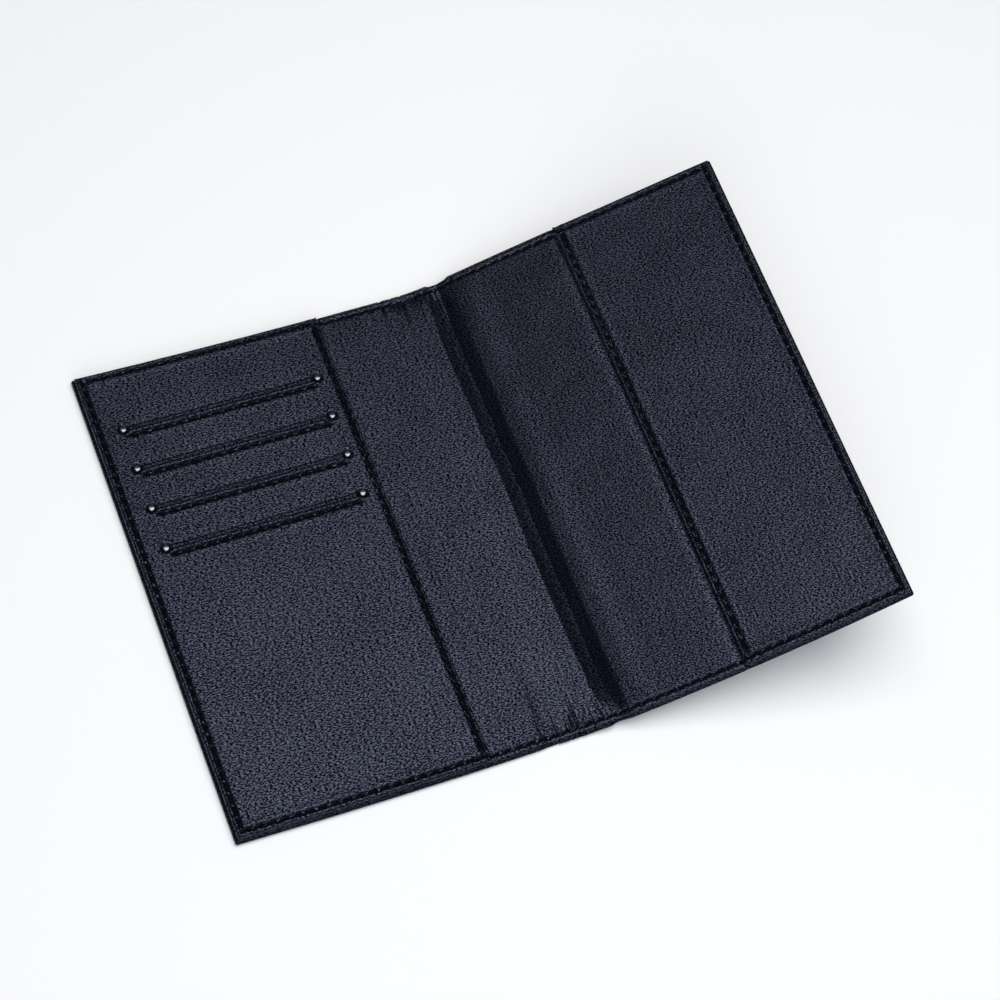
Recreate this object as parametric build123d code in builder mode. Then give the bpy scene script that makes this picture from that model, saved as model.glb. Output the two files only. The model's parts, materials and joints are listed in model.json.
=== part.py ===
from build123d import *

import os
from math import cos, radians, sin, sqrt

# Bifold leather passport holder, lying open: two pocketed leaves joined by a soft spine.
#
# Frame: +Z up from the surface that the holder lies on, +Y towards its head, and +X from the front leaf,
# which has the card slots, to the back leaf, which has the plain sleeve. The origin is the middle of the
# underside of its overall box. The front leaf and the spine lie flat, and the back leaf leans up.
# Each leaf is drawn from its own plane on the leather's outer face: x from the fold outwards, z inwards.

# ---- driving dimensions, in millimetres and degrees ----
height = 140.0  # head to tail
leaf_width = 90.3  # from a leaf's fold to its outer edge
spine_width = 9.3  # between the two fold axes
back_lean = 20.0  # the back leaf's rise, at rest
fold_clearance = 0.15  # each side of a fold axis

cover_thickness = 0.8  # outer leather
board_thickness = 0.7  # stiffener
board_play = 0.2
front_board_from_fold = 5.0
back_board_from_fold = 10.0  # further back: the gutter lies beside this board
turn_in_thickness = 0.3  # the outer leather's skived edge, folded over the board
turn_in_width = 8.0
lining_thickness = 0.4
panel_thickness = 0.7  # leather of the card panel and of the sleeve
card_pocket_gap = 0.7  # room behind the card panel
sleeve_gap = 0.5  # room behind the sleeve
inner_inset = 0.8  # linings and panels stop this far inside the cover's edge
corner_radius = 1.0
cover_rounding = 0.35
panel_rounding = 0.3

seam_hem_width = 6.0  # turned-under edges that are sewn to the lining
mouth_hem_width = 4.0  # turned-under edge at a pocket's mouth
mouth_hem_thickness = 0.25
card_panel_width = 70.0  # from the leaf's outer edge to the pocket's mouth
sleeve_width = 47.7

slot_count = 4
slot_pitch = 12.35
slot_opening = 0.6
first_slot_from_head = 19.55
rivet_from_edge = 8.65  # outer rivet of a slot, from the leaf's outer edge
rivet_spacing = 55.4  # lets a 54 mm card through
fabric_thickness = 0.1
fabric_depth = 76.0  # below a slot
fabric_rise = 6.0  # above a slot
fabric_side_margin = 1.2  # past the rivets
fabric_hole_play = 0.1

rivet_head_radius = 1.25
rivet_rim_height = 0.15
rivet_head_height = 0.55
rivet_shank_radius = 0.4
washer_radius = 0.9
washer_thickness = 0.2
washer_play = 0.02

thread_width = 0.45
thread_thickness = 0.15
seam_from_edge = 2.4  # perimeter seam, from the cover's edge
mouth_seam_from_edge = 1.7
slot_seam_below_slot = 2.3
seam_end_gap = 0.7  # a seam stops this far short of the one that it meets
groove_width = 0.6
groove_depth = 0.2

# ---- levels above the outer face of the leather ----
board_top = cover_thickness + board_thickness
lining_bottom = board_top + turn_in_thickness
lining_top = lining_bottom + lining_thickness
card_panel_bottom = lining_top + card_pocket_gap
card_panel_top = card_panel_bottom + panel_thickness
sleeve_bottom = lining_top + sleeve_gap
sleeve_top = sleeve_bottom + panel_thickness
spine_lining_top = cover_thickness + lining_thickness
spine_end_top = cover_thickness + turn_in_thickness + lining_thickness
fold_level = lining_top + thread_thickness  # the fold axes lie level with the inner face

# ---- places ----
half_height = height / 2
inner_half_height = half_height - inner_inset
inner_outer_edge = leaf_width - inner_inset
seam_y = half_height - seam_from_edge
seam_x = leaf_width - seam_from_edge
card_mouth = leaf_width - card_panel_width
sleeve_mouth = leaf_width - sleeve_width

lean = radians(back_lean)
back_reach = leaf_width * cos(lean) + fold_level * sin(lean)
front_fold_x = (leaf_width - spine_width - back_reach) / 2
back_fold_x = front_fold_x + spine_width

front_plane = Plane(origin=(front_fold_x, 0, 0), x_dir=(-1, 0, 0), z_dir=(0, 0, 1))
back_plane = Plane(
    origin=(back_fold_x + fold_level * sin(lean), 0, fold_level * (1 - cos(lean))),
    x_dir=(cos(lean), 0, sin(lean)),
    z_dir=(-sin(lean), 0, cos(lean)),
)
spine_plane = Plane(origin=((front_fold_x + back_fold_x) / 2, 0, 0))
spine_half = spine_width / 2 - fold_clearance

slot_ys = [half_height - first_slot_from_head - i * slot_pitch for i in range(slot_count)]
outer_rivet_x = front_fold_x - leaf_width + rivet_from_edge
inner_rivet_x = outer_rivet_x + rivet_spacing
rivet_places = [(x, y) for y in slot_ys for x in (outer_rivet_x, inner_rivet_x)]


# ---- what the pieces share: each adds to the part being built, or cuts from it ----
def save(piece, name):
    """Labels a finished piece and writes its STEP file."""
    piece.part.label = name
    export_step(piece.part, f"parts/{name}.step")


def sheet(plane, bottom, thickness, xs, ys, mode=Mode.ADD):
    """A flat rectangular layer between two x and two y values of the plane."""
    with BuildSketch(plane.offset(bottom)) as outline:
        with Locations((sum(xs) / 2, sum(ys) / 2)):
            Rectangle(xs[1] - xs[0], ys[1] - ys[0])
    extrude(outline.sketch, amount=thickness, dir=plane.z_dir, mode=mode)


def rounded_sheet(plane, bottom, thickness, xs, half_length):
    """A flat layer whose two corners at the leaf's outer edge are rounded."""
    with BuildSketch(plane.offset(bottom)) as outline:
        with Locations((sum(xs) / 2, 0)):
            Rectangle(xs[1] - xs[0], 2 * half_length)
        fillet(outline.vertices().sort_by(Axis.X)[-2:], corner_radius)
    extrude(outline.sketch, amount=thickness, dir=plane.z_dir)


def round_rim(piece, plane, radius, face_index):
    """Rounds the edge of the piece's lowest or highest face, except at the fold side."""
    face = piece.faces().sort_by(Axis(plane.origin, plane.z_dir))[face_index]
    fillet(face.edges().sort_by(Axis(plane.origin, plane.x_dir))[1:], radius)


def seam_band(plane, bottom, thickness, x_start, width, mode=Mode.ADD):
    """A leaf's three-sided perimeter seam, open towards the fold."""
    with BuildSketch(plane.offset(bottom)) as band:
        with BuildLine() as run:
            Polyline((x_start, seam_y), (seam_x, seam_y), (seam_x, -seam_y), (x_start, -seam_y))
        trace(run.line, line_width=width)
    extrude(band.sketch, amount=thickness, dir=plane.z_dir, mode=mode)


def end_seams(plane, bottom, thickness, xs, width, mode=Mode.ADD):
    """The straight runs of the perimeter seam at the head and at the tail."""
    for y in (-seam_y, seam_y):
        sheet(plane, bottom, thickness, xs, (y - width / 2, y + width / 2), mode)


def leaf_cover(piece, plane):
    """A leaf's outer leather: flat outside, and folded in over the board on three sides."""
    board_edge = half_height - cover_thickness
    window_edge = half_height - turn_in_width
    rounded_sheet(plane, 0, lining_bottom, (fold_clearance, leaf_width), half_height)
    for outer_or_inner in (0, -1):
        round_rim(piece, plane, cover_rounding, outer_or_inner)
    sheet(
        plane,
        cover_thickness,
        board_thickness,
        (fold_clearance, leaf_width - cover_thickness),
        (-board_edge, board_edge),
        Mode.SUBTRACT,
    )
    sheet(
        plane,
        board_top,
        turn_in_thickness,
        (fold_clearance, leaf_width - turn_in_width),
        (-window_edge, window_edge),
        Mode.SUBTRACT,
    )
    seam_band(plane, 0, groove_depth, fold_clearance, groove_width, Mode.SUBTRACT)


def leaf_board(plane, from_fold):
    """A leaf's stiffener, which stops short of the fold and of the folded leather."""
    outer = leaf_width - cover_thickness - board_play
    half_length = half_height - cover_thickness - board_play
    sheet(plane, cover_thickness, board_thickness, (from_fold, outer), (-half_length, half_length))


def leaf_lining(plane):
    """The inner leather of a leaf, which the pocket is sewn to."""
    rounded_sheet(plane, lining_bottom, lining_thickness, (fold_clearance, inner_outer_edge), inner_half_height)


def pocket_panel(piece, plane, bottom, mouth):
    """A pocket's leather, with its three sewn edges and its mouth turned under."""
    window_edge = inner_half_height - seam_hem_width
    mouth_hem_bottom = bottom - mouth_hem_thickness
    full_thickness = bottom + panel_thickness - lining_top
    rounded_sheet(plane, lining_top, full_thickness, (mouth, inner_outer_edge), inner_half_height)
    round_rim(piece, plane, panel_rounding, -1)
    sheet(
        plane,
        lining_top,
        bottom - lining_top,
        (mouth, inner_outer_edge - seam_hem_width),
        (-window_edge, window_edge),
        Mode.SUBTRACT,
    )
    sheet(
        plane,
        mouth_hem_bottom,
        mouth_hem_thickness,
        (mouth, mouth + mouth_hem_width),
        (-window_edge, window_edge),
    )


def inner_edge_seam(plane, panel_top, mouth):
    """A leaf's perimeter thread, seen from inside: on the panel, down its side, then on the lining."""
    step_start = mouth - thread_thickness
    seam_band(plane, panel_top, thread_thickness, step_start, thread_width)
    end_seams(plane, lining_top, panel_top + thread_thickness - lining_top, (step_start, mouth), thread_width)
    end_seams(plane, lining_top, thread_thickness, (fold_clearance, mouth), thread_width)


def mouth_seam(plane, panel_top, mouth):
    """The thread along a pocket's mouth, which holds its turned-under edge."""
    x = mouth + mouth_seam_from_edge
    y_end = seam_y - seam_end_gap
    sheet(plane, panel_top, thread_thickness, (x - thread_width / 2, x + thread_width / 2), (-y_end, y_end))


os.makedirs("parts", exist_ok=True)

# ---- what both leaves have ----
for leaf, plane, panel_top, mouth, board_from_fold in (
    ("front", front_plane, card_panel_top, card_mouth, front_board_from_fold),
    ("back", back_plane, sleeve_top, sleeve_mouth, back_board_from_fold),
):
    with BuildPart() as cover_leather:
        leaf_cover(cover_leather, plane)
    save(cover_leather, f"{leaf}_cover_leather")

    with BuildPart() as stiffener:
        leaf_board(plane, board_from_fold)
    save(stiffener, f"{leaf}_stiffener")

    with BuildPart() as lining:
        leaf_lining(plane)
    save(lining, f"{leaf}_lining")

    with BuildPart() as edge_thread:
        inner_edge_seam(plane, panel_top, mouth)
    save(edge_thread, f"{leaf}_edge_thread")

    with BuildPart() as outer_thread:
        seam_band(plane, groove_depth - thread_thickness, thread_thickness, fold_clearance, thread_width)
    save(outer_thread, f"{leaf}_outer_thread")

# ---- front leaf: card panel, its slots, fabric pockets and rivets ----
with BuildPart() as card_panel:
    pocket_panel(card_panel, front_plane, card_panel_bottom, card_mouth)
    for y in slot_ys:
        sheet(
            Plane.XY,
            card_panel_bottom,
            panel_thickness,
            (outer_rivet_x, inner_rivet_x),
            (y - slot_opening / 2, y + slot_opening / 2),
            Mode.SUBTRACT,
        )
    with BuildSketch(Plane.XY.offset(card_panel_bottom)):
        with Locations(*rivet_places):
            Circle(rivet_shank_radius)
    extrude(amount=panel_thickness, mode=Mode.SUBTRACT)
save(card_panel, "card_panel")

with BuildPart() as card_mouth_thread:
    mouth_seam(front_plane, card_panel_top, card_mouth)
save(card_mouth_thread, "card_mouth_thread")

for number, y in enumerate(slot_ys, start=1):
    # The first slot's fabric lies deepest, and each slot's lies over the one above it.
    layer = slot_count - number + 1
    with BuildPart() as card_pocket_fabric:
        with BuildSketch(Plane.XY.offset(card_panel_bottom - layer * fabric_thickness)):
            with Locations(((outer_rivet_x + inner_rivet_x) / 2, y + (fabric_rise - fabric_depth) / 2)):
                Rectangle(rivet_spacing + 2 * fabric_side_margin, fabric_rise + fabric_depth)
            with Locations(*rivet_places):
                Circle(washer_radius + fabric_hole_play, mode=Mode.SUBTRACT)
        extrude(amount=fabric_thickness)
    save(card_pocket_fabric, f"card_pocket_fabric_{number}")

    seam_middle = y - slot_seam_below_slot
    with BuildPart() as slot_thread:
        sheet(
            Plane.XY,
            card_panel_top,
            thread_thickness,
            (outer_rivet_x, inner_rivet_x),
            (seam_middle - thread_width / 2, seam_middle + thread_width / 2),
        )
    save(slot_thread, f"slot_thread_{number}")

# A rivet's dome is part of a sphere that meets the rim of its head.
dome_height = rivet_head_height - rivet_rim_height
dome_radius = (rivet_head_radius**2 + dome_height**2) / (2 * dome_height)
dome_middle_x = rivet_head_radius / 2
dome_middle_z = rivet_head_height - dome_radius + sqrt(dome_radius**2 - dome_middle_x**2)
shank_length = panel_thickness + washer_thickness
with BuildPart() as rivet:
    with BuildSketch(Plane.XZ):
        with BuildLine():
            Polyline(
                (0, rivet_head_height),
                (0, -shank_length),
                (rivet_shank_radius, -shank_length),
                (rivet_shank_radius, 0),
                (rivet_head_radius, 0),
                (rivet_head_radius, rivet_rim_height),
            )
            ThreePointArc(
                (rivet_head_radius, rivet_rim_height), (dome_middle_x, dome_middle_z), (0, rivet_head_height)
            )
        make_face()
    revolve(axis=Axis.Z)

with BuildPart() as slot_rivets:
    with Locations(*[(x, y, card_panel_top) for x, y in rivet_places]):
        add(rivet.part)
save(slot_rivets, "slot_rivets")

with BuildPart() as slot_rivet_washers:
    with BuildSketch(Plane.XY.offset(card_panel_bottom - washer_thickness)):
        with Locations(*rivet_places):
            Circle(washer_radius)
            Circle(rivet_shank_radius + washer_play, mode=Mode.SUBTRACT)
    extrude(amount=washer_thickness)
save(slot_rivet_washers, "slot_rivet_washers")

# ---- spine ----
turn_in_edge = half_height - turn_in_width
with BuildPart() as spine_leather:
    sheet(spine_plane, 0, cover_thickness, (-spine_half, spine_half), (-half_height, half_height))
    for ys in ((-half_height, -turn_in_edge), (turn_in_edge, half_height)):
        sheet(spine_plane, cover_thickness, turn_in_thickness, (-spine_half, spine_half), ys)
    head_and_tail = spine_leather.faces().sort_by(Axis.Y)
    fillet(head_and_tail[0].edges().filter_by(Axis.X) + head_and_tail[-1].edges().filter_by(Axis.X), cover_rounding)
    end_seams(spine_plane, 0, groove_depth, (-spine_half, spine_half), groove_width, Mode.SUBTRACT)
save(spine_leather, "spine_leather")

with BuildPart() as spine_lining:
    # It lies on the leather, and steps up over the turned-in ends.
    sheet(spine_plane, cover_thickness, lining_thickness, (-spine_half, spine_half), (-turn_in_edge, turn_in_edge))
    for side in (-1, 1):
        inner_y, outer_y = turn_in_edge - lining_thickness, inner_half_height
        over_turn_in = sorted((side * turn_in_edge, side * outer_y))
        riser = sorted((side * inner_y, side * turn_in_edge))
        sheet(
            spine_plane, cover_thickness + turn_in_thickness, lining_thickness, (-spine_half, spine_half), over_turn_in
        )
        sheet(spine_plane, cover_thickness, spine_end_top - cover_thickness, (-spine_half, spine_half), riser)
save(spine_lining, "spine_lining")

for name, bottom in (
    ("spine_edge_threads", spine_end_top),
    ("spine_outer_threads", groove_depth - thread_thickness),
):
    with BuildPart() as threads:
        end_seams(spine_plane, bottom, thread_thickness, (-spine_half, spine_half), thread_width)
    save(threads, name)

# ---- back leaf: plain sleeve ----
with BuildPart() as sleeve_panel:
    pocket_panel(sleeve_panel, back_plane, sleeve_bottom, sleeve_mouth)
save(sleeve_panel, "sleeve_panel")

with BuildPart() as sleeve_mouth_thread:
    mouth_seam(back_plane, sleeve_top, sleeve_mouth)
save(sleeve_mouth_thread, "sleeve_mouth_thread")
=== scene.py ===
"""Bifold leather passport holder, lying open on a pale surface.

The leather is one flat sheet in two coordinates, u across the opened holder and v along the spine, with
heights h above its outer face. place() bends that sheet: flat under the front leaf and the spine, through
an arc at the back fold, and flat again up the raised back leaf. Every soft piece and every stitch is made
in (u, v, h), in millimetres, and placed by that one function.
"""

import json
import math
import random

import bmesh
import bpy
import numpy as np
from mathutils import Matrix, Vector


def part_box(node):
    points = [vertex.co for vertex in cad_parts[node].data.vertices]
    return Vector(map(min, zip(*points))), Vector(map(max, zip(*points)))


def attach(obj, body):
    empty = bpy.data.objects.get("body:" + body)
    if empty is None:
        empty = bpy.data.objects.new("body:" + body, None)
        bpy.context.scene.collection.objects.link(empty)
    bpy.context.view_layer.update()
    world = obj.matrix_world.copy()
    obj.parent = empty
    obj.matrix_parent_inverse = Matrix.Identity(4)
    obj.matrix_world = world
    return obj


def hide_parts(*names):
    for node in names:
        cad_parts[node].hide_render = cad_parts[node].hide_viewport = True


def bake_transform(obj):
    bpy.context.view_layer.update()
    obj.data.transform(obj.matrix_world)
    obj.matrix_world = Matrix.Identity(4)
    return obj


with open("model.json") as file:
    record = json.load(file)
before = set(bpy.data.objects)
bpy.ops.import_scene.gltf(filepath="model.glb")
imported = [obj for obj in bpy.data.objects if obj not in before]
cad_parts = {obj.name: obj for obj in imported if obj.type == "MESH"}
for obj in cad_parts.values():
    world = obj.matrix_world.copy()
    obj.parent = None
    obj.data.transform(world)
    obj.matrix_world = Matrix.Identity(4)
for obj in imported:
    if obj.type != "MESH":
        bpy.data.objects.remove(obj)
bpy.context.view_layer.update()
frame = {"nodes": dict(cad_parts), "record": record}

MM = 0.001

# ---- the frame, in millimetres ----
joints = {j["name"]: j for j in frame["record"]["behaviour"]["joints"]}
front_fold_x = joints["front_fold"]["pos_m"][0] / MM
back_fold_x = joints["back_fold"]["pos_m"][0] / MM
fold_z = joints["back_fold"]["pos_m"][2] / MM
lean = math.radians(-joints["back_fold"]["range_deg"][0])


def box_mm(node):
    """A CAD node's lowest and highest corners at rest."""
    low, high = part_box(node)
    return np.array(low) / MM, np.array(high) / MM


cover_low, cover_high = box_mm("front_cover_leather")
lining_low, lining_high = box_mm("front_lining")
panel_high = box_mm("card_panel")[1]
board_high = box_mm("front_stiffener")[1]
board_top = board_high[2]
sleeve_gap = 0.5  # between the lining and the sleeve's leather
sleeve_thickness = 0.7
half_height = cover_high[1]
leaf_width = front_fold_x - cover_low[0]
inner_inset = lining_low[0] - cover_low[0]
lining_bottom = lining_low[2]
lining_top = lining_high[2]
card_panel_top = panel_high[2]
sleeve_top = lining_top + sleeve_gap + sleeve_thickness
card_mouth_x = panel_high[0]

# ---- the bent sheet ----
bend_tangent = 5.0  # from where the leaves' outer faces would cross to where the arc starts
bend_radius = bend_tangent / math.tan(lean / 2)
bend_half = bend_radius * lean / 2
cross_x = back_fold_x + fold_z * math.tan(lean / 2)
arc_x = cross_x - bend_tangent


def u_at(x):
    """The u of a place on the front leaf or the spine."""
    return x - arc_x - bend_half


# How far a leaf's head and tail edges bow at its middle: both towards the head, and both outwards.
front_bow = (-0.62, -0.16)
back_bow = (-0.28, 0.48)
spine_draw = 0.2
spine_draw_reach = 22
bow_falloff = 6  # a high power of v keeps the bow at the edges


def bowed(u, v):
    """The leaves' head and tail edges aren't quite straight, and are drawn in a little at the spine."""
    share = v / half_height
    along = np.clip(np.where(u < 0, u / u_front_edge, u / u_back_edge), 0, 1)
    front = front_bow[0] + front_bow[1] * share
    back = back_bow[0] + back_bow[1] * share
    shift = np.where(u < 0, front, back) * 4 * along * (1 - along)
    drawn_in = spine_draw * share * np.exp(-((u / spine_draw_reach) ** 2))
    return v + (shift - drawn_in) * share ** bow_falloff


def place(u, v, h):
    """Bends the flat sheet: (u, v, h) in millimetres to points in metres."""
    u, v, h = np.broadcast_arrays(np.asarray(u, float), np.asarray(v, float), np.asarray(h, float))
    v = bowed(u, v)
    angle = np.clip((u + bend_half) / (2 * bend_half), 0, 1) * lean
    before = np.minimum(u + bend_half, 0)
    after = np.maximum(u - bend_half, 0)
    x = arc_x + before + bend_radius * np.sin(angle) + after * math.cos(lean) - h * np.sin(angle)
    z = bend_radius * (1 - np.cos(angle)) + after * math.sin(lean) + h * np.cos(angle)
    return np.stack([x, v, z], axis=-1) * MM


back_offset = fold_z * math.tan(lean / 2) - bend_tangent + bend_half
u_front_edge = u_at(cover_low[0])
u_back_edge = leaf_width + back_offset
u_front_fold = u_at(front_fold_x)
u_back_fold = back_offset
u_spine_middle = (u_front_fold + u_back_fold) / 2
u_card_mouth = u_at(card_mouth_x)
front_board_edge = u_at(board_high[0])
back_board_from_fold = 10.0
back_board_edge = u_back_fold + back_board_from_fold
sleeve_width = 47.7
u_sleeve_mouth = u_back_edge - sleeve_width

# ---- repeatable unevenness ----
lattice_size = 64
lattice = np.random.default_rng(7).uniform(-1, 1, (lattice_size, lattice_size))


def drift(a, b, scale, layer=0):
    """Smooth unevenness from -1 to 1, with features of about the given size. Each layer looks different."""
    a = np.asarray(a, float) / scale + 11.3 * layer
    b = np.asarray(b, float) / scale + 5.7 * layer
    i, j = np.floor(a).astype(int), np.floor(b).astype(int)
    s, t = a - i, b - j
    s, t = s * s * (3 - 2 * s), t * t * (3 - 2 * t)

    def corner(di, dj):
        return lattice[(i + di) % lattice_size, (j + dj) % lattice_size]

    low = corner(0, 0) * (1 - s) + corner(1, 0) * s
    high = corner(0, 1) * (1 - s) + corner(1, 1) * s
    return low * (1 - t) + high * t


def bump(distance, width):
    """A smooth bell of height 1 at distance 0."""
    return np.exp(-((np.asarray(distance) / width) ** 2))


def step_up(value, start, end):
    """A smooth rise from 0 at start to 1 at end."""
    t = np.clip((np.asarray(value, float) - start) / (end - start), 0, 1)
    return t * t * (3 - 2 * t)


def grid_lines(start, end, coarse, fine, features):
    """Values from start to end, close together near the features, which are (place, reach) pairs."""
    values = [start]
    while values[-1] < end - 0.4 * fine:
        here = values[-1]
        nearest = min((abs(here - f) - reach for f, reach in features), default=1e9)
        values.append(here + min(coarse, fine + 0.25 * max(nearest, 0)))
    values[-1] = end
    return np.array(values)


# ---- seams ----
seam_inset = 2.4  # perimeter seam, from the cover's edge
seam_pitch = 3.4  # from one stitch to the next
stitch_radius = 0.27
slot_pitch = 12.35
slot_seam_drop = 2.15  # from a slot's rivets down to its seam
mouth_seam_inset = 1.7  # from a pocket's mouth to its seam
slot_count = 4
seam_v = half_height - seam_inset

rivet_box_low, rivet_box_high = box_mm("slot_rivets")
rivet_radius = 1.25
rivet_us = (u_at(rivet_box_low[0] + rivet_radius), u_at(rivet_box_high[0] - rivet_radius))
slot_vs = [rivet_box_high[1] - rivet_radius - i * slot_pitch for i in range(slot_count)]


# ---- heights of the visible surfaces ----
def seam_dip(distance, along, depth=0.62, width=0.6):
    """How far a seam pulls the leather down: a channel, deepest and widest once for each stitch."""
    turn = 2 * math.pi * np.asarray(along) / seam_pitch
    pull = 0.82 + 0.18 * np.cos(turn)
    off_line = distance + 0.1 * np.sin(turn) + 0.06 * np.sin(2.3 * turn)
    return -depth * pull * np.exp(-((off_line / (width * (0.88 + 0.14 * np.cos(turn)))) ** 4))


def edge_roll(inside, depth, reach):
    """Lets a surface fall away as it comes to its edge."""
    t = np.clip(1 - np.asarray(inside) / reach, 0, 1)
    return -depth * (1 - np.sqrt(np.maximum(1 - t * t, 0)))


gutter_middle = 6.5
gutter_depth = 2.1
gutter_right = 4.2  # from its middle up to the back board's side
crest_away = 5.2  # from its middle to the crest of the swell on its left
outer_bulge = 0.85  # how far the outer leather stands out under it


def gutter_line(v):
    """Where the gutter's middle runs."""
    wander = 0.55 * drift(0, v, 31, 2) + 0.25 * drift(0, v, 9, 3)
    return gutter_middle + wander + 1.2 * step_up(-v, 58, 70)


def gutter_end(v):
    """The gutter grows shallower as it comes to the head and the tail."""
    toward_head = 0.62 * step_up(v, half_height - 5.5, half_height - 0.3)
    toward_tail = 0.8 * step_up(-v, half_height - 13, half_height - 0.5)
    return 1 - toward_head - toward_tail


def lining_height(u, v):
    """The inner leather: flat on the boards, and loose over the soft spine."""
    h = lining_top + 0.07 * drift(u, v, 17) + 0.03 * drift(u, v, 5, 1)
    end = half_height - np.abs(v)
    # The gutter: a crease between the back board's edge and a loose swell over the spine.
    away = u - gutter_line(v)
    deep = gutter_end(v)
    gutter_left = 4.0 + 0.5 * step_up(v, 15, 45) - 0.6 * step_up(-v, 35, 60)
    fall = np.clip(1 - np.abs(away) / np.where(away < 0, gutter_left, gutter_right), 0, 1)
    before_board = 1 - step_up(u, 8.6, 11.0)
    h = h - gutter_depth * deep * before_board * fall ** 1.15
    from_crest = away + crest_away
    swell = np.exp(-((from_crest / np.where(from_crest < 0, 7.5, 3.0)) ** 2))
    h = h + (0.85 + 0.25 * step_up(-v, -25, 35)) * deep * swell
    h = h + 0.25 * deep * bump(away - 7.6, 3.6)
    # Shallow hollows on the front leaf: one along the middle, one that runs down to the tail.
    h = h - 0.22 * bump(u + 22.5, 3.4) * bump(v + 20, 30)
    h = h - 0.5 * bump(u + 12.2 - 0.05 * (v + 60), 2.6) * step_up(-v, 36, 60)
    # The pockets' mouths press the lining down beside them.
    h = h - 0.55 * bump(u - u_sleeve_mouth + 0.6, 0.8) - 0.3 * bump(u - u_card_mouth - 0.5, 0.5)
    # Long soft creases beside the gutter, and tight puckers where the edge is turned in.
    phase = u + 0.5 * drift(u, v, 11, 5)
    long_creases = np.sin(2 * math.pi * phase / 2.1) * bump(u + 1.5, 6.5)
    h = h + 0.03 * long_creases * (0.5 + 0.5 * drift(u, v, 17, 6))
    reach = 5.5 + 2.5 * drift(u, v, 3.1, 7)
    from_seam = np.maximum(end - seam_inset, 0)
    pucker_zone = bump(u + 3.5, 9.0) * np.exp(-from_seam / reach) * step_up(end, 1.4, 3.4)
    fine_phase = u + 0.4 * drift(u, v, 4, 8) + 0.08 * end * np.sin(u)
    h = h + 0.18 * np.sin(2 * math.pi * fine_phase / 1.45) * pucker_zone
    for spacing, offset, depth in ((2.1, 0.0, 0.5), (3.3, 1.0, 0.5)):
        groove = np.abs(np.cos(math.pi * (fine_phase + offset) / spacing)) ** 8
        h = h - depth * groove * pucker_zone * (0.7 + 0.3 * drift(u, v, 2.2, 13))
    # The seams along the head and tail, and the roll of the edge outside them.
    h = h + seam_dip(end - seam_inset, u, 0.45)
    h = h + edge_roll(end - inner_inset, 0.35, 1.3)
    # Nothing is pressed into the boards, and the outer leather is underneath everywhere, in two layers
    # where it is folded in.
    on_board = (u < front_board_edge + 0.4) | (u > back_board_edge - 0.3)
    h = np.where(on_board, np.maximum(h, board_top + 0.1), h)
    room = 0.68 + 0.35 * step_up(-end, -10.5, -9.5)
    return np.maximum(h, outer_face_height(u, v) + room)


def outer_face_height(u, v):
    """The outer leather's face, seen from below: nearly flat, with its seam and fine unevenness."""
    end = half_height - np.abs(v)
    side = np.minimum(u - u_front_edge, u_back_edge - u)
    h = 0.03 + 0.03 * drift(u, v, 16, 9) * step_up(np.minimum(end, side), 0, 4)
    h = np.maximum(h, 0.0)
    # The gutter presses the soft spine out.
    away = u - gutter_line(v)
    h = h - outer_bulge * gutter_end(v) * bump(away, 3.3)
    along_end = 0.3 * bump(end - seam_inset, 0.5)
    along_side = 0.3 * bump(side - seam_inset, 0.5)
    return h + np.where(end < side, along_end, along_side) * (np.minimum(end, side) > 0.9)


def panel_surface(top, v_edge, u_outer, sign):
    """A pocket panel's face, as a function for its height. sign is -1 on the front leaf, 1 on the back."""

    def height(u, v, u_mouth):
        end = v_edge - np.abs(v)
        outer = sign * (u_outer - u)
        mouth = sign * (u - u_mouth)
        h = top + 0.07 * drift(u, v, 21, 10) + 0.03 * drift(u, v, 6, 11)
        # The empty pocket's leather sags a little between its seams.
        middle = step_up(np.minimum(np.minimum(end, outer), mouth), 2, 20)
        h = h - 0.14 * middle * (0.7 + 0.3 * drift(u, v, 30, 12))
        seam_end = end - (seam_inset - inner_inset)
        seam_outer = outer - (seam_inset - inner_inset)
        h = h + np.where(
            end < outer,
            seam_dip(seam_end, u) * step_up(outer, 0.8, 2.0),
            seam_dip(seam_outer, v) * step_up(end, 0.8, 2.0),
        )
        h = h + seam_dip(mouth - mouth_seam_inset, v, 0.7, 0.64) * step_up(end, 2.1, 3.0)
        # The leather stands up a little between a seam and the nearest edge.
        h = h + 0.28 * bump(mouth - 0.6, 0.45) + 0.1 * bump(mouth - 3.0, 0.8)
        nearest = np.minimum(end, outer)
        h = h + 0.1 * bump(nearest - 2.9, 0.8) + 0.1 * bump(nearest - 0.75, 0.35)
        return h + edge_roll(nearest, 0.3, 1.0)

    return height


card_surface = panel_surface(card_panel_top, half_height - inner_inset, u_front_edge + inner_inset, -1)
sleeve_surface = panel_surface(sleeve_top, half_height - inner_inset, u_back_edge - inner_inset, 1)
slot_gap = (0.5, 0.62)  # the slot's opening, above the line of its rivets


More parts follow.
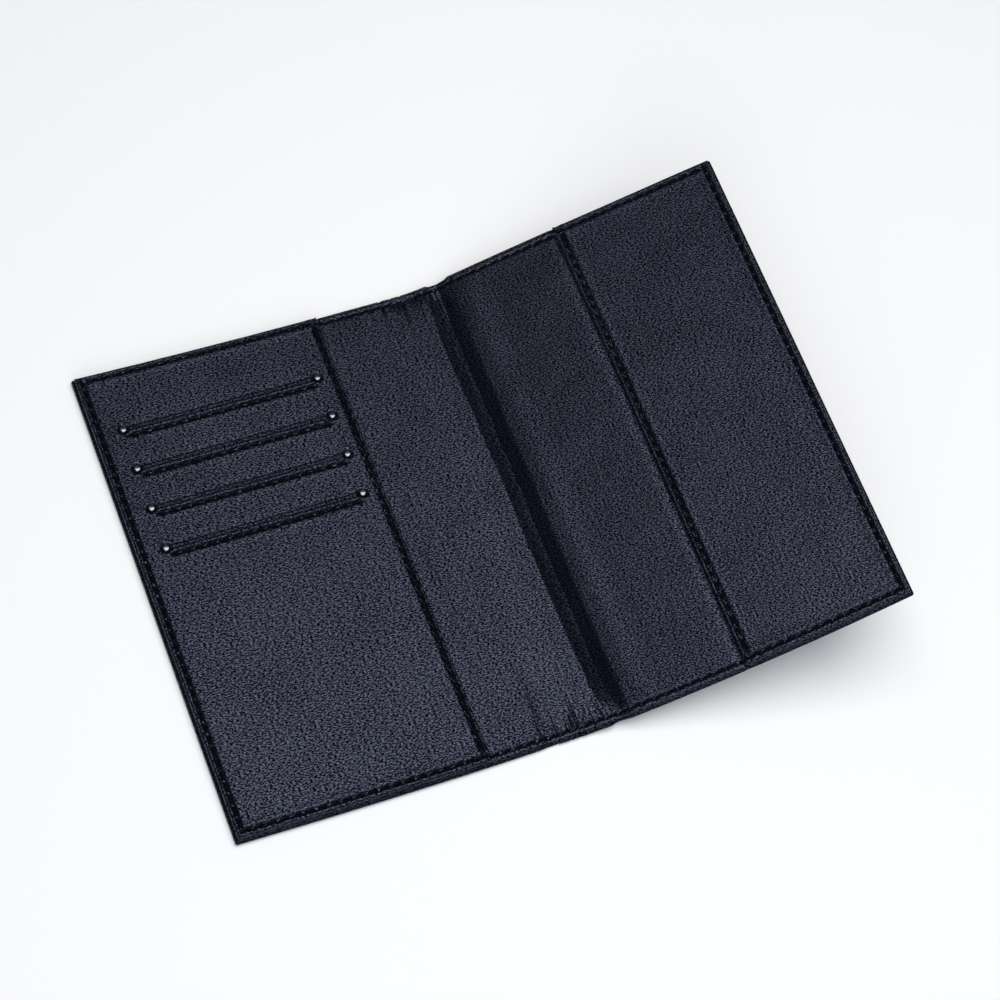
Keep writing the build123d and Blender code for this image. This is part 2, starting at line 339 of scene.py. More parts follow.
def card_height(u, v, u_mouth):
    """The card panel's face, with a raised lip under each slot and a dimple at each rivet."""
    h = card_surface(u, v, u_mouth)
    past_first = step_up(u, rivet_us[0] - 0.6, rivet_us[0] + 2.5)
    before_last = step_up(-u, -rivet_us[1] - 0.6, -rivet_us[1] + 2.5)
    inside = past_first * before_last
    for v_slot in slot_vs:
        below = v_slot - v
        seam_away = below - slot_seam_drop
        rise = step_up(below, -slot_gap[1] - 0.05, -slot_gap[0] + 0.3)
        lip = rise * (1 - step_up(seam_away, -1.0, -0.2))
        h = h + 0.13 * lip * inside * (1 + 1.4 * step_up(below, 0.2, 1.3))
        above = np.exp(-np.maximum(-below - slot_gap[1], 0) / 1.8) * (below < -slot_gap[0])
        h = h - 0.08 * above * inside
        h = h + seam_dip(seam_away, u, 0.65, 0.58) * inside
        h = h + 0.07 * bump(seam_away - 1.2, 0.7) * inside
        for u_rivet in rivet_us:
            away = np.hypot(u - u_rivet, v - v_slot)
            h = h - 0.7 * np.exp(-((away / 1.3) ** 4)) + 0.08 * bump(away - 1.9, 0.4)
    return h


# ---- meshes ----
ring_steps = 6  # across the half circle that an edge turns through
sharp_angle = math.radians(50)


def new_object(name, points, faces):
    """A smooth-shaded mesh object from points in metres."""
    mesh = bpy.data.meshes.new(name)
    mesh.from_pydata(points.tolist(), [], faces)
    mesh.validate()
    mesh.shade_smooth()
    made = bpy.data.objects.new(name, mesh)
    bpy.context.scene.collection.objects.link(made)
    return made


def drop_unused(made):
    """Deletes the points that no face uses."""
    work = bmesh.new()
    work.from_mesh(made.data)
    bmesh.ops.delete(work, geom=[v for v in work.verts if not v.link_faces], context="VERTS")
    work.to_mesh(made.data)
    work.free()


def thicken(made, thickness):
    """Gives a sheet its thickness, inwards from its face, and keeps its cut edges crisp."""
    solid = made.modifiers.new("thickness", "SOLIDIFY")
    solid.thickness = thickness * MM
    solid.offset = -1
    solid.use_rim = True
    apply_modifiers(made)
    made.data.set_sharp_from_angle(angle=sharp_angle)


def apply_modifiers(made):
    """Replaces the object's mesh by what its modifiers make of it."""
    graph = bpy.context.evaluated_depsgraph_get()
    final = bpy.data.meshes.new_from_object(made.evaluated_get(graph))
    final.name = made.name
    made.modifiers.clear()
    made.data = final


def border(index, all_round, outer_low):
    """The grid's turned sides as one run of points: all four, or the three away from the fold."""
    columns, rows = index.shape
    if all_round:
        tail = [index[i, 0] for i in range(columns)]
        far = [index[-1, j] for j in range(1, rows)]
        head = [index[i, -1] for i in range(columns - 2, -1, -1)]
        near = [index[0, j] for j in range(rows - 2, -1, -1)]
        return tail + far + head + near
    order = list(range(columns - 1, -1, -1)) if outer_low else list(range(columns))
    outer = 0 if outer_low else columns - 1
    tail = [index[i, 0] for i in order]
    side = [index[outer, j] for j in range(1, rows - 1)]
    head = [index[i, -1] for i in reversed(order)]
    return tail + side + head


def round_corner(U, V, outer_low, radius):
    """Bends the grid's two outer corners round: a square of the corner's size onto a quarter disc."""
    sign = -1 if outer_low else 1
    centre_u = U.min() + radius if outer_low else U.max() - radius
    for v_sign in (-1, 1):
        centre_v = v_sign * (V.max() - radius)
        a = (U - centre_u) * sign / radius
        b = (V - centre_v) * v_sign / radius
        corner = (a > 0) & (b > 0)
        round_a = a * np.sqrt(np.maximum(1 - b * b / 2, 0))
        round_b = b * np.sqrt(np.maximum(1 - a * a / 2, 0))
        U = np.where(corner, centre_u + sign * radius * round_a, U)
        V = np.where(corner, centre_v + v_sign * radius * round_b, V)
    return U, V


def turned_sheet(name, us, vs, height, edge, hem, thickness, side, outer_low, corner, skip=None):
    """A piece of leather with its edges turned round and under.

    us and vs are the grid lines of its face, which end where the edge starts to turn. side is 1 where the
    face looks up and -1 where it looks down. edge(u, v) is the height through which the edge turns at a
    border point, and hem is the width of what is folded back. outer_low says that the leaf's outer edge is
    the low end of us. With corner None, the corners stay square.
    """
    U, V = np.meshgrid(us, vs, indexing="ij")
    if corner is not None:
        U, V = round_corner(U, V, outer_low, corner)
    index = np.arange(U.size).reshape(U.shape)
    faces = []
    for i in range(len(us) - 1):
        for j in range(len(vs) - 1):
            if skip is None or not skip((us[i] + us[i + 1]) / 2, (vs[j] + vs[j + 1]) / 2):
                faces.append((index[i, j], index[i + 1, j], index[i + 1, j + 1], index[i, j + 1]))
    all_round = edge.all_round
    loop = border(index, all_round, outer_low)
    u0, v0 = U.ravel()[loop], V.ravel()[loop]
    h0 = height(u0, v0)
    turn = edge(u0, v0)
    parts = [(U.ravel(), V.ravel(), height(U, V).ravel())]
    centre = (us[0] + us[-1]) / 2 if all_round else (us[-1] if outer_low else us[0])
    reach_u, reach_v = np.abs(us - centre).max(), vs[-1]
    # Each ring is an inset from the border and a drop: half a circle round the edge, then the hem.
    angles = np.linspace(0, math.pi, ring_steps + 1)[1:]
    rings = [(-math.sin(a) * turn / 2, turn * (1 - math.cos(a)) / 2) for a in angles]
    rings += [(np.full_like(turn, inset), turn) for inset in (hem * 0.3, hem)]
    previous, count = np.array(loop), U.size
    clockwise = outer_low and not all_round
    for inset, drop in rings:
        ring_u = centre + (u0 - centre) * (1 - inset / reach_u)
        ring_v = v0 * (1 - inset / reach_v)
        parts.append((ring_u, ring_v, h0 - side * drop))
        current = np.arange(count, count + len(loop))
        count += len(loop)
        for k in range(len(loop) - 1):
            ring = (previous[k], previous[k + 1], current[k + 1], current[k])
            faces.append(ring if clockwise else ring[::-1])
        previous = current
    u, v, h = (np.concatenate(part) for part in zip(*parts))
    if side < 0:
        faces = [face[::-1] for face in faces]
    made = new_object(name, place(u, v, h), faces)
    drop_unused(made)
    if all_round:
        work = bmesh.new()
        work.from_mesh(made.data)
        bmesh.ops.remove_doubles(work, verts=work.verts, dist=1e-7)
        work.to_mesh(made.data)
        work.free()
    thicken(made, thickness)
    return made


class Edge:
    """How far an edge turns round at a border point, and whether all four sides turn."""

    def __init__(self, turn, all_round=False):
        self.turn, self.all_round = turn, all_round

    def __call__(self, u, v):
        return self.turn(u, v)


# ---- leather pieces ----
cover_depth = lining_bottom
cover_turn_radius = cover_depth / 2
turn_in_width = 8.0
pocket_hem = 4.0
outer_thickness = 0.3
lining_thickness = 0.35
pocket_thickness = 0.4


def outer_leather(name, outer_low):
    """Half of the outer leather: its outside face, its turned edge and its turn-in under the lining."""
    u_edge = u_front_edge if outer_low else u_back_edge
    sign = -1 if outer_low else 1
    outer = u_edge - sign * cover_turn_radius
    low, high = (outer, u_spine_middle) if outer_low else (u_spine_middle, outer)
    seam_u = u_edge - sign * seam_inset
    us = grid_lines(low, high, 2.4, 0.3, [(seam_u, 0.7), (outer, 0.6), (u_spine_middle, 9.0)])
    v_end = half_height - cover_turn_radius
    vs = grid_lines(-v_end, v_end, 2.4, 0.3, [(-seam_v, 0.7), (seam_v, 0.7), (-v_end, 0.5), (v_end, 0.5)])

    def turn(u, v):
        # Across the gutter, what is folded in has to lie below the lining.
        deepest = [lining_height(u, np.sign(v) * (half_height - inside)) for inside in (3.5, 5, 6.5, 8, 9)]
        below = np.minimum(cover_depth, np.min(deepest, axis=0) - 0.42)
        return np.maximum(below - outer_face_height(u, v), 0.6)

    edge = Edge(turn)
    return turned_sheet(
        name, us, vs, outer_face_height, edge, turn_in_width, outer_thickness, -1, outer_low, corner=0.6
    )


def lining(name, outer_low):
    """Half of the inner leather, from under a pocket panel to the middle of the spine."""
    sign = -1 if outer_low else 1
    outer = (u_front_edge if outer_low else u_back_edge) - sign * inner_inset
    low, high = (outer, u_spine_middle) if outer_low else (u_spine_middle, outer)
    us = grid_lines(low, high, 0.85, 0.3, [(0.0, 17.0)])
    if not outer_low:
        us[np.argmin(np.abs(us - gutter_middle))] = gutter_middle
    # Under the pocket panels every fifth line is enough.
    hidden = us < u_card_mouth - 6 if outer_low else us > u_sleeve_mouth + 6
    us = np.array([u for k, u in enumerate(us) if not hidden[k] or k % 5 == 0 or k in (0, len(us) - 1)])
    v_end = half_height - inner_inset
    ends = [(s * v, reach) for s in (-1, 1) for v, reach in ((seam_v, 1.0), (v_end, 1.2))]
    vs = grid_lines(-v_end, v_end, 1.3, 0.22, ends)
    U, V = np.meshgrid(us, vs, indexing="ij")
    # One column of points follows the gutter's middle, where the leather is creased.
    U = U + (gutter_line(V) - gutter_middle) * step_up(6 - np.abs(U - gutter_middle), 0, 6)
    H = lining_height(U, V)
    index = np.arange(U.size).reshape(U.shape)
    faces = [
        (index[i, j], index[i + 1, j], index[i + 1, j + 1], index[i, j + 1])
        for i in range(len(us) - 1)
        for j in range(len(vs) - 1)
    ]
    made = new_object(name, place(U, V, H).reshape(-1, 3), faces)
    thicken(made, lining_thickness)
    return made


def pocket_panel(name, top, mouth_gap, height, outer_low, skip=None, extra_u=(), extra_v=()):
    """A pocket's leather: its face, its sewn edges turned under, and its mouth's free hem."""
    sign = -1 if outer_low else 1
    full = top - lining_top
    outer = (u_front_edge if outer_low else u_back_edge) - sign * (inner_inset + full / 2)
    mouth = (u_card_mouth if outer_low else u_sleeve_mouth) + sign * full / 2
    low, high = (outer, mouth) if outer_low else (mouth, outer)
    v_end = half_height - inner_inset - full / 2
    edge_seam = outer - sign * (seam_inset - inner_inset - full / 2)
    mouth_seam = mouth + sign * (mouth_seam_inset - full / 2)
    at_seams = [(edge_seam, 1.0), (mouth_seam, 1.1)]
    us = grid_lines(low, high, 0.8, 0.2, at_seams + [(low, 0.6), (high, 0.6), *extra_u])
    ends = [(s * v, reach) for s in (-1, 1) for v, reach in ((seam_v, 1.0), (v_end, 0.6))]
    vs = grid_lines(-v_end, v_end, 0.8, 0.2, ends + list(extra_v))

    def turn(u, v):
        at_mouth = (np.abs(u - mouth) < 1e-6) & (np.abs(v) < v_end - 5)
        return np.where(at_mouth, full - mouth_gap, full) + (height(u, v) - top)

    edge = Edge(turn, True)
    return turned_sheet(
        name, us, vs, height, edge, pocket_hem, pocket_thickness, 1, outer_low, corner=None, skip=skip
    )


def in_slot(u, v):
    """Whether a place on the card panel is in one of its slots."""
    along = rivet_us[0] + 0.9 < u < rivet_us[1] - 0.9
    return along and any(slot_gap[0] < v - v_slot < slot_gap[1] for v_slot in slot_vs)


# ---- stitches ----
stitch_sides = 7
stitch_share = 0.97  # a stitch's length, of the pitch
# A stitch from end to end: places along its half length, how far it is lifted there, and its thickness.
stitch_steps = (-1, -0.93, -0.7, -0.35, 0, 0.35, 0.7, 0.93, 1)
stitch_lift = (-0.3, -0.14, 0.02, 0.07, 0.09, 0.07, 0.02, -0.14, -0.3)
stitch_swell = (0.45, 0.8, 1, 1.06, 1.08, 1.06, 1, 0.8, 0.45)


def stitch_run(points):
    """The (place, direction) of each stitch along a polyline in (u, v)."""
    spots = []
    carried = seam_pitch / 2
    for a, b in zip(points, points[1:]):
        a, b = np.array(a, float), np.array(b, float)
        length = np.linalg.norm(b - a)
        while carried < length:
            spots.append((a + (b - a) * carried / length, (b - a) / length))
            carried += seam_pitch
        carried -= length
    return spots


def stitches(name, spots, height, side=1, slant=7):
    """One mesh of separate stitches. Each is a short thick thread whose ends dive into their holes."""
    turns = random.Random(name)
    points, faces = [], []
    for centre, direction in spots:
        angle = math.radians(slant + turns.uniform(-4, 4))
        c, s = math.cos(angle), math.sin(angle)
        along = np.array([direction[0] * c - direction[1] * s, direction[0] * s + direction[1] * c])
        across = np.array([-along[1], along[0]])
        half = seam_pitch * stitch_share / 2 * turns.uniform(0.94, 1.04)
        base = len(points)
        for step, lift, swell in zip(stitch_steps, stitch_lift, stitch_swell):
            u, v = centre + along * step * half
            h = float(height(u, v)) + side * lift
            for k in range(stitch_sides):
                a = 2 * math.pi * k / stitch_sides
                offset = across * math.cos(a) * stitch_radius * swell * 1.15
                rise = side * math.sin(a) * stitch_radius * swell * 0.8
                points.append((u + offset[0], v + offset[1], h + rise))
        last_ring = base + (len(stitch_steps) - 1) * stitch_sides
        for ring in range(base, last_ring, stitch_sides):
            for k in range(stitch_sides):
                a = ring + k
                b = ring + (k + 1) % stitch_sides
                quad = (a, b, b + stitch_sides, a + stitch_sides)
                faces.append(quad[::-side])
        cap = [base + k for k in range(stitch_sides)]
        far = [last_ring + k for k in range(stitch_sides)]
        faces.append(cap[::-side])
        faces.append(far[::side])
    u, v, h = np.array(points).T
    made = new_object(name, place(u, v, h), faces)
    work = bmesh.new()
    work.from_mesh(made.data)
    bmesh.ops.recalc_face_normals(work, faces=work.faces)
    work.to_mesh(made.data)
    work.free()
    return made


def card_face(u, v):
    """The visible inner surface of the front leaf: the card panel, or the lining past its mouth."""
    panel = card_height(np.minimum(u, u_card_mouth), v, u_card_mouth)
    return np.where(u < u_card_mouth, panel, lining_height(u, v))


def sleeve_face(u, v):
    """The visible inner surface of the back leaf: the sleeve, or the lining past its mouth."""
    sleeve_leather = sleeve_surface(np.maximum(u, u_sleeve_mouth), v, u_sleeve_mouth)
    return np.where(u > u_sleeve_mouth, sleeve_leather, lining_height(u, v))


def perimeter(outer_low):
    """A leaf's perimeter seam: from the middle of the spine along the tail, the outer edge and the head."""
    sign = -1 if outer_low else 1
    u_seam = (u_front_edge if outer_low else u_back_edge) - sign * seam_inset
    start = u_spine_middle + sign * seam_pitch / 2
    return [(start, -seam_v), (u_seam, -seam_v), (u_seam, seam_v), (start, seam_v)]


# ---- rivets ----
def rivet_heads(name):
    """Rivet heads, each a small polished dome sunk in the leather, one at each end of each slot."""
    # (radius, height) from the top of the dome, round its rim and down its shank.
    dome = [(0, 0.33), (0.3, 0.326), (0.55, 0.31), (0.75, 0.27), (0.9, 0.17), (0.97, 0.0), (0.98, -0.4)]
    shank = [(0.7, -0.5), (0.42, -0.52), (0.4, -0.95), (0, -0.95)]
    profile = dome + shank
    segments = 40
    points, faces = [], []
    for v_slot in slot_vs:
        for u_rivet in rivet_us:
            seat = float(card_surface(u_rivet, v_slot, u_card_mouth)) + 0.1
            base = len(points)
            points.append((u_rivet, v_slot, seat + profile[0][1]))
            for radius, rise in profile[1:-1]:
                for k in range(segments):
                    a = 2 * math.pi * k / segments
                    u = u_rivet + radius * math.cos(a)
                    v = v_slot + radius * math.sin(a)
                    points.append((u, v, seat + rise))
            points.append((u_rivet, v_slot, seat + profile[-1][1]))
            last = len(points) - 1
            for k in range(segments):
                faces.append((base, base + 1 + k, base + 1 + (k + 1) % segments))
                ring_end = last - segments
                faces.append((last, ring_end + (k + 1) % segments, ring_end + k))
            for ring in range(len(profile) - 3):
                for k in range(segments):
                    a = base + 1 + ring * segments + k
                    b = base + 1 + ring * segments + (k + 1) % segments
                    faces.append((a, a + segments, b + segments, b))
    u, v, h = np.array(points).T
    made = new_object(name, place(u, v, h), faces)
    made.data.set_sharp_from_angle(angle=math.radians(60))
    return made


# ---- materials ----
class Nodes:
    """A material's node tree, with short ways to add nodes and join them."""

    def __init__(self, name, **shader_values):
        self.material = bpy.data.materials.new(name)
        self.material.use_nodes = True
        self.tree = self.material.node_tree
        self.shader = self.tree.nodes["Principled BSDF"]
        for socket, value in shader_values.items():
            self.shader.inputs[socket.replace("_", " ")].default_value = value

    def add(self, kind, **settings):
        node = self.tree.nodes.new(kind)
        for key, value in settings.items():
            if hasattr(node, key):
                setattr(node, key, value)
            else:
                node.inputs[key.replace("_", " ")].default_value = value
        return node

    def join(self, output, entry):
        self.tree.links.new(output, entry)

    def ramp(self, value, stops):
        """A colour ramp of (position, grey or colour) stops."""
        node = self.add("ShaderNodeValToRGB")
        while len(node.color_ramp.elements) < len(stops):
            node.color_ramp.elements.new(0.5)
        for element, (position, colour) in zip(node.color_ramp.elements, stops):
            element.position = position
            element.color = (*colour, 1) if isinstance(colour, tuple) else (colour, colour, colour, 1)
        self.join(value, node.inputs["Fac"])
        return node.outputs["Color"]


height_share = 0.7
wobble_reach = 0.00025  # metres
small_pebble_share = 0.25
ripple_share = 0.6


def leather(name, dark, light, grain_scale, grain_height, roughness, shine):
    """Fine pebbled leather: two sizes of pebble, a ripple of wrinkles across the spine, and faint mottling.

    grain_scale is in pebbles per metre, and grain_height in metres. roughness is (least, most). shine is
    how strongly the tops of the grain reflect, and its hollows don't.
    """
    n = Nodes(name, Specular_Tint=(0.62, 0.68, 1.0, 1))
    place_in = n.add("ShaderNodeTexCoord").outputs["Object"]
    # The grain is laid out from above. Some of the height, added to both directions, carries it over edges.
    place_parts = n.add("ShaderNodeSeparateXYZ")
    n.join(place_in, place_parts.inputs[0])
    flat = n.add("ShaderNodeCombineXYZ")
    for axis in (0, 1):
        raised = n.add("ShaderNodeMath", operation="MULTIPLY_ADD")
        raised.inputs[1].default_value = height_share
        n.join(place_parts.outputs[2], raised.inputs[0])
        n.join(place_parts.outputs[axis], raised.inputs[2])
        n.join(raised.outputs[0], flat.inputs[axis])
    wobble = n.add("ShaderNodeTexNoise", noise_dimensions="2D", Scale=grain_scale * 0.35, Detail=1.0)
    n.join(flat.outputs[0], wobble.inputs["Vector"])
    shifted = n.add("ShaderNodeVectorMath", operation="MULTIPLY_ADD")
    shifted.inputs[1].default_value = (wobble_reach, wobble_reach, 0.0)
    n.join(wobble.outputs["Color"], shifted.inputs[0])
    n.join(flat.outputs[0], shifted.inputs[2])
    cells = n.add("ShaderNodeTexVoronoi", voronoi_dimensions="2D", feature="F1", Scale=grain_scale)
    n.join(shifted.outputs["Vector"], cells.inputs["Vector"])
    fine = n.add("ShaderNodeTexVoronoi", voronoi_dimensions="2D", feature="F1", Scale=grain_scale * 1.9)
    n.join(shifted.outputs["Vector"], fine.inputs["Vector"])
    dome = n.ramp(cells.outputs["Distance"], [(0.0, 1.0), (0.25, 0.9), (0.7, 0.0)])
    small = n.ramp(fine.outputs["Distance"], [(0.0, 1.0), (0.8, 0.0)])
    pebbles = n.add("ShaderNodeMix", data_type="FLOAT")
    pebbles.inputs[0].default_value = small_pebble_share
    n.join(dome, pebbles.inputs[2])
    n.join(small, pebbles.inputs[3])
    # A ripple that runs across the spine, with shorter and longer wrinkles.
    stretched = n.add("ShaderNodeVectorMath", operation="MULTIPLY")
    stretched.inputs[1].default_value = (0.5, 1.0, 1.0)
    n.join(shifted.outputs["Vector"], stretched.inputs[0])
    wrinkles = n.add("ShaderNodeTexNoise", noise_dimensions="2D", Scale=grain_scale * 0.85, Detail=1.0)
    n.join(stretched.outputs["Vector"], wrinkles.inputs["Vector"])
    ripple = n.ramp(wrinkles.outputs["Fac"], [(0.34, 0.0), (0.66, 1.0)])
    both = n.add("ShaderNodeMix", data_type="FLOAT")
    both.inputs[0].default_value = ripple_share
    n.join(pebbles.outputs[0], both.inputs[2])
    n.join(ripple, both.inputs[3])
    mottle = n.add("ShaderNodeTexNoise", Scale=70.0, Detail=4.0, Roughness=0.6)
    n.join(place_in, mottle.inputs["Vector"])
    strength = n.ramp(mottle.outputs["Fac"], [(0.3, 0.85), (0.7, 1.0)])
    grain = n.add("ShaderNodeMath", operation="MULTIPLY")
    n.join(both.outputs[0], grain.inputs[0])
    n.join(strength, grain.inputs[1])
    bump_node = n.add("ShaderNodeBump", Strength=1.0, Distance=grain_height)
    n.join(grain.outputs[0], bump_node.inputs["Height"])
    n.join(bump_node.outputs["Normal"], n.shader.inputs["Normal"])
    # Painted highlight and shade on the grain: the colour is lighter on its tops and darker in its hollows.
    grain_painted_light_and_shade = n.add("ShaderNodeMix", data_type="RGBA")
    grain_painted_light_and_shade.inputs[6].default_value = (*dark, 1)
    grain_painted_light_and_shade.inputs[7].default_value = (*light, 1)
    n.join(grain.outputs[0], grain_painted_light_and_shade.inputs[0])
    n.join(grain_painted_light_and_shade.outputs[2], n.shader.inputs["Base Color"])
    gloss = n.ramp(mottle.outputs["Fac"], [(0.25, roughness[0]), (0.75, roughness[1])])
    n.join(gloss, n.shader.inputs["Roughness"])
    gleam = n.ramp(grain.outputs[0], [(0.3, 0.0), (0.85, shine)])
    n.join(gleam, n.shader.inputs["Specular IOR Level"])
    return n.material


def twisted_thread(name, colour):
    """Waxed thread: fine slanting plies."""
    n = Nodes(name, Roughness=0.65, Specular_IOR_Level=0.04)
    where = n.add("ShaderNodeTexCoord").outputs["Object"]
    plies = n.add("ShaderNodeTexWave", bands_direction="DIAGONAL", Scale=900.0, Distortion=1.5, Detail=1.0)
    n.join(where, plies.inputs["Vector"])
    rise = n.add("ShaderNodeBump", Strength=0.8, Distance=0.00006)
    n.join(plies.outputs["Fac"], rise.inputs["Height"])
    n.join(rise.outputs["Normal"], n.shader.inputs["Normal"])
    shade = n.ramp(plies.outputs["Fac"], [(0.0, tuple(c * 0.5 for c in colour)), (1.0, colour)])
    n.join(shade, n.shader.inputs["Base Color"])
    return n.material


def woven(name, colour):
    """Plain-weave lining fabric."""
    n = Nodes(name, Roughness=0.85)
    where = n.add("ShaderNodeTexCoord").outputs["Object"]
    threads = []
    for direction in ("X", "Y"):
        wave = n.add("ShaderNodeTexWave", bands_direction=direction, Scale=1100.0)
        n.join(where, wave.inputs["Vector"])
        threads.append(wave.outputs["Fac"])
    crossed = n.add("ShaderNodeMath", operation="MAXIMUM")
    n.join(threads[0], crossed.inputs[0])
    n.join(threads[1], crossed.inputs[1])
    rise = n.add("ShaderNodeBump", Strength=0.6, Distance=0.00005)
    n.join(crossed.outputs[0], rise.inputs["Height"])
    n.join(rise.outputs["Normal"], n.shader.inputs["Normal"])
    shade = n.ramp(crossed.outputs[0], [(0.0, tuple(c * 0.4 for c in colour)), (1.0, colour)])
    n.join(shade, n.shader.inputs["Base Color"])
    return n.material


def pulp_board(name, colour):
    """Grey-brown board with short fibres."""
    n = Nodes(name, Roughness=0.9)
    where = n.add("ShaderNodeTexCoord").outputs["Object"]
    fibres = n.add("ShaderNodeTexNoise", Scale=900.0, Detail=5.0, Roughness=0.7)
    n.join(where, fibres.inputs["Vector"])
    shade = n.ramp(fibres.outputs["Fac"], [(0.3, tuple(c * 0.7 for c in colour)), (0.7, colour)])
    n.join(shade, n.shader.inputs["Base Color"])
    rise = n.add("ShaderNodeBump", Strength=0.4, Distance=0.00004)
    n.join(fibres.outputs["Fac"], rise.inputs["Height"])
    n.join(rise.outputs["Normal"], n.shader.inputs["Normal"])
    return n.material


def metal(name, colour, roughness, wear):
    """Plated metal with fine handling marks."""
    n = Nodes(name, Metallic=1.0, Base_Color=(*colour, 1))
    where = n.add("ShaderNodeTexCoord").outputs["Object"]
    marks = n.add("ShaderNodeTexNoise", Scale=2600.0, Detail=4.0)
    n.join(where, marks.inputs["Vector"])
    dull = n.ramp(marks.outputs["Fac"], [(0.35, roughness), (0.75, wear)])
    n.join(dull, n.shader.inputs["Roughness"])
    return n.material


def pale_surface(name):
    """The plain pale floor."""
    return Nodes(name, Base_Color=(0.92, 0.925, 0.935, 1), Roughness=0.9, Specular_IOR_Level=0.1).material


# The leather's colour in its grain's hollows and on its tops: painted shade and painted highlight.
leather_painted_shade = (0.0006, 0.0007, 0.0018)
leather_painted_light = (0.0050, 0.0058, 0.0115)
face_leather = leather(
    "navy_black_leather",
    leather_painted_shade,
    leather_painted_light,
    grain_scale=3200.0,
    grain_height=0.00005,
    roughness=(0.3, 0.38),
    shine=1.12,
)
outer_face_leather = leather(
    "navy_black_outer_leather",
    leather_painted_shade,
    leather_painted_light,
    grain_scale=2900.0,
    grain_height=0.00006,
    roughness=(0.32, 0.4),
    shine=0.6,
)
thread_black = twisted_thread("black_thread", (0.0025, 0.0025, 0.004))
pocket_weave = woven("pocket_weave", (0.02, 0.02, 0.026))
grey_board = pulp_board("grey_board", (0.36, 0.32, 0.27))
plated = metal("plated_rivet", (0.2, 0.2, 0.22), 0.1, 0.25)
washer_metal = metal("washer_metal", (0.55, 0.55, 0.57), 0.3, 0.5)


def dress(piece, material):
    """Gives a piece its material."""
    piece.data.materials.clear()
    piece.data.materials.append(material)


def bend_front(piece):
    """Bakes a front piece's placement into its mesh."""
    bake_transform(piece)


def bend_back(piece):
    """Bakes a back piece's placement into its mesh."""
    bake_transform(piece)


for leaf, outer_low, bend in (("front", True, bend_front), ("back", False, bend_back)):
    leather_piece = outer_leather(f"{leaf}_outer_leather", outer_low)
    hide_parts(f"{leaf}_cover_leather", "spine_leather")
    dress(leather_piece, outer_face_leather)
    bend(leather_piece)

    lining_piece = lining(f"{leaf}_inner_leather", outer_low)
    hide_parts(f"{leaf}_lining", "spine_lining")
    dress(lining_piece, face_leather)
    bend(lining_piece)

    face = card_face if outer_low else sleeve_face
    seam = stitch_run(perimeter(outer_low))
    inner = stitches(f"{leaf}_edge_stitches", seam, face)
    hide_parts(f"{leaf}_edge_thread", "spine_edge_threads")
    dress(inner, thread_black)
    bend(inner)

    outer = stitches(f"{leaf}_outer_stitches", seam, outer_face_height, side=-1)
    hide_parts(f"{leaf}_outer_thread", "spine_outer_threads")
    dress(outer, thread_black)
    bend(outer)

slot_lines = [(v, 1.0) for v_slot in slot_vs for v in (v_slot, v_slot - slot_seam_drop)]
card_mouth_gap = 0.45
sleeve_mouth_gap = 0.3
card_panel = pocket_panel(
    "card_panel_leather",
    card_panel_top,
    card_mouth_gap,
    lambda u, v: card_height(u, v, u_card_mouth),
    True,
    skip=in_slot,
    extra_u=[(u, 2.0) for u in rivet_us],
    extra_v=slot_lines,
)
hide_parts("card_panel")
dress(card_panel, face_leather)
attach(card_panel, "front_leaf")

sleeve = pocket_panel(
    "sleeve_leather",
    sleeve_top,
    sleeve_mouth_gap,
    lambda u, v: sleeve_surface(u, v, u_sleeve_mouth),
    False,
)
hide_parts("sleeve_panel")
dress(sleeve, face_leather)
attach(sleeve, "back_leaf")


def mouth_stitch_run(u_seam):
    """The stitches along a pocket's mouth, which stop short of the perimeter seam."""
    end_v = seam_v - seam_pitch * 0.55
    return stitch_run([(u_seam, -end_v), (u_seam, end_v)])


card_mouth_seam = mouth_stitch_run(u_card_mouth - mouth_seam_inset)
card_mouth_stitches = stitches("card_mouth_stitches", card_mouth_seam, card_face)
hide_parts("card_mouth_thread")
dress(card_mouth_stitches, thread_black)
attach(card_mouth_stitches, "front_leaf")

sleeve_mouth_seam = mouth_stitch_run(u_sleeve_mouth + mouth_seam_inset)
sleeve_mouth_stitches = stitches("sleeve_mouth_stitches", sleeve_mouth_seam, sleeve_face)
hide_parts("sleeve_mouth_thread")
dress(sleeve_mouth_stitches, thread_black)
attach(sleeve_mouth_stitches, "back_leaf")

for number, v_slot in enumerate(slot_vs, start=1):
    line = [(u, v_slot - slot_seam_drop) for u in (rivet_us[0] + 0.3, rivet_us[1] - 0.2)]
    run = stitches(f"slot_stitches_{number}", stitch_run(line), card_face, slant=-8)
    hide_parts(f"slot_thread_{number}")
    dress(run, thread_black)
    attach(run, "front_leaf")

rivets = rivet_heads("slot_rivet_heads")
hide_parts("slot_rivets")
dress(rivets, plated)
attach(rivets, "front_leaf")

# The CAD solids that are shown as they are get their materials.
kept = {"front_stiffener": grey_board, "back_stiffener": grey_board, "slot_rivet_washers": washer_metal}
kept.update({f"card_pocket_fabric_{i}": pocket_weave for i in range(1, slot_count + 1)})
for node, material in kept.items():
    for slot_of_node in frame["nodes"][node].material_slots:
        slot_of_node.material = material


# ---- floor, light and camera ----
floor_radius = 3.0
floor_drop = 0.00002  # just under the plane that the holder lies on


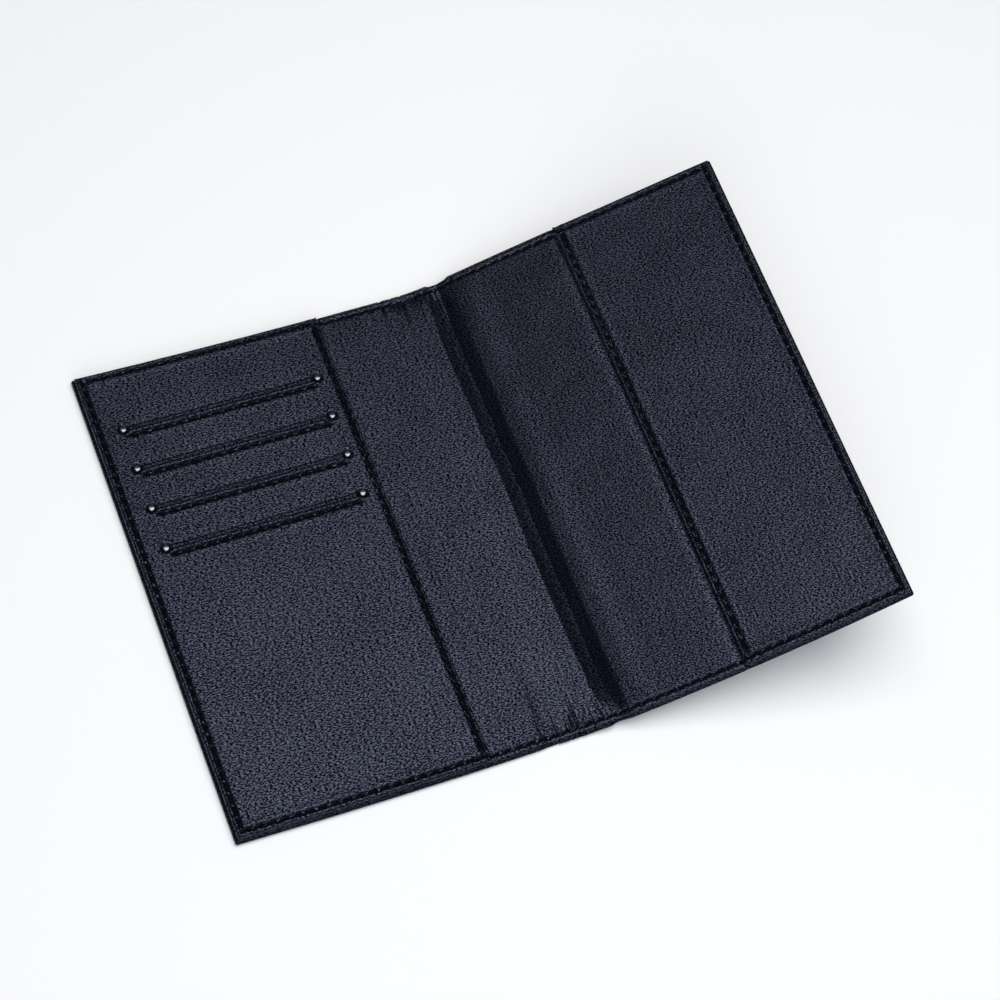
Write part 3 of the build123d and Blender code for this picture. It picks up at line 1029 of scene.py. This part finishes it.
def floor():
    """A plain pale floor under the holder, as a fine disc."""
    work = bmesh.new()
    bmesh.ops.create_circle(work, cap_ends=True, radius=floor_radius, segments=96)
    mesh = bpy.data.meshes.new("floor")
    work.to_mesh(mesh)
    work.free()
    made = bpy.data.objects.new("floor", mesh)
    bpy.context.scene.collection.objects.link(made)
    made.location.z = -floor_drop
    mesh.materials.append(pale_surface("pale_floor"))


def soft_light(name, azimuth, elevation, distance, size, power, colour):
    """A square soft box that looks at the holder. Azimuth 0 stands at -Y, and grows towards +X."""
    data = bpy.data.lights.new(name, "AREA")
    data.shape, data.size, data.energy, data.color = "SQUARE", size, power, colour
    made = bpy.data.objects.new(name, data)
    bpy.context.scene.collection.objects.link(made)
    a, e = math.radians(azimuth), math.radians(elevation)
    made.location = Vector((math.sin(a) * math.cos(e), -math.cos(a) * math.cos(e), math.sin(e))) * distance
    made.rotation_euler = (-made.location).to_track_quat("-Z", "Y").to_euler()


def camera(aim, azimuth, elevation, roll, distance, lens):
    data = bpy.data.cameras.new("camera")
    data.lens, data.sensor_width = lens, 36.0
    data.clip_start, data.clip_end = 0.01, 20
    made = bpy.data.objects.new("camera", data)
    bpy.context.scene.collection.objects.link(made)
    a, e = math.radians(azimuth), math.radians(elevation)
    back = Vector((math.sin(a) * math.cos(e), -math.cos(a) * math.cos(e), math.sin(e)))
    right = Vector((math.cos(a), math.sin(a), 0))
    up = back.cross(right)
    turn = Matrix.Rotation(math.radians(roll), 3, back)
    right, up = turn @ right, turn @ up
    made.matrix_world = Matrix.Translation(Vector(aim) + back * distance) @ Matrix(
        (right, up, back)
    ).transposed().to_4x4()
    bpy.context.scene.camera = made


floor()
warm = (1.0, 0.985, 0.975)
cool = (0.88, 0.93, 1.0)
soft_light("key", azimuth=80, elevation=84, distance=0.85, size=0.8, power=7.2, colour=warm)
soft_light("fill", azimuth=-25, elevation=40, distance=1.2, size=1.0, power=5.0, colour=cool)

world = bpy.data.worlds.new("studio")
world.use_nodes = True
world.node_tree.nodes["Background"].inputs["Color"].default_value = (0.84, 0.91, 1.0, 1)
world.node_tree.nodes["Background"].inputs["Strength"].default_value = 0.14
bpy.context.scene.world = world
bpy.context.scene.view_settings.view_transform = "Standard"

camera(
    aim=(0.007429, 0.001834, 0),
    azimuth=-35.772,
    elevation=62.293,
    roll=16.552,
    distance=0.778239,
    lens=102.841,
)
